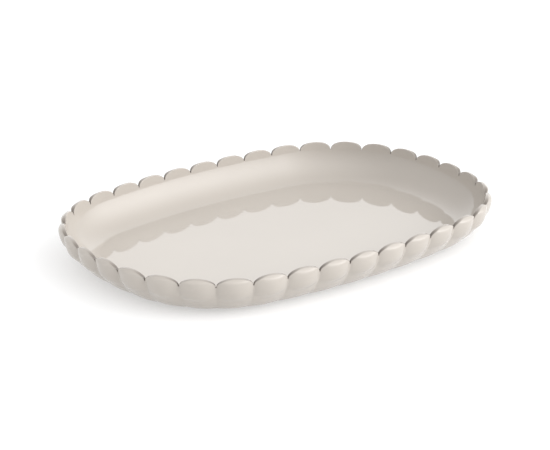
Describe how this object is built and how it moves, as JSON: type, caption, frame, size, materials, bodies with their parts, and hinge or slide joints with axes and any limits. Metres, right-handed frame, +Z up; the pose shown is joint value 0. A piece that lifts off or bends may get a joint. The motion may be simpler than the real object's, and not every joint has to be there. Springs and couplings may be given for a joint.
{
  "type": "serving platter",
  "caption": "Long oval china serving platter: flat glossy well, curved cove, flared wall with a scalloped rim of rounded petals, on an unglazed foot ring.",
  "frame": {"origin": "on the table under the middle of the platter, at the bottom of the foot ring", "axes": "+X along the platter's length, +Y across its width, +Z up out of the open well"},
  "size_m": [0.4518, 0.3258, 0.0431],
  "materials": {
    "glaze": "high-gloss warm off-white glaze",
    "bisque": "bare fired clay, fine-ground and matt"
  },
  "bodies": {
    "root": {"platter_body": "glaze", "foot_ring": "bisque"}
  },
  "joints": []
}
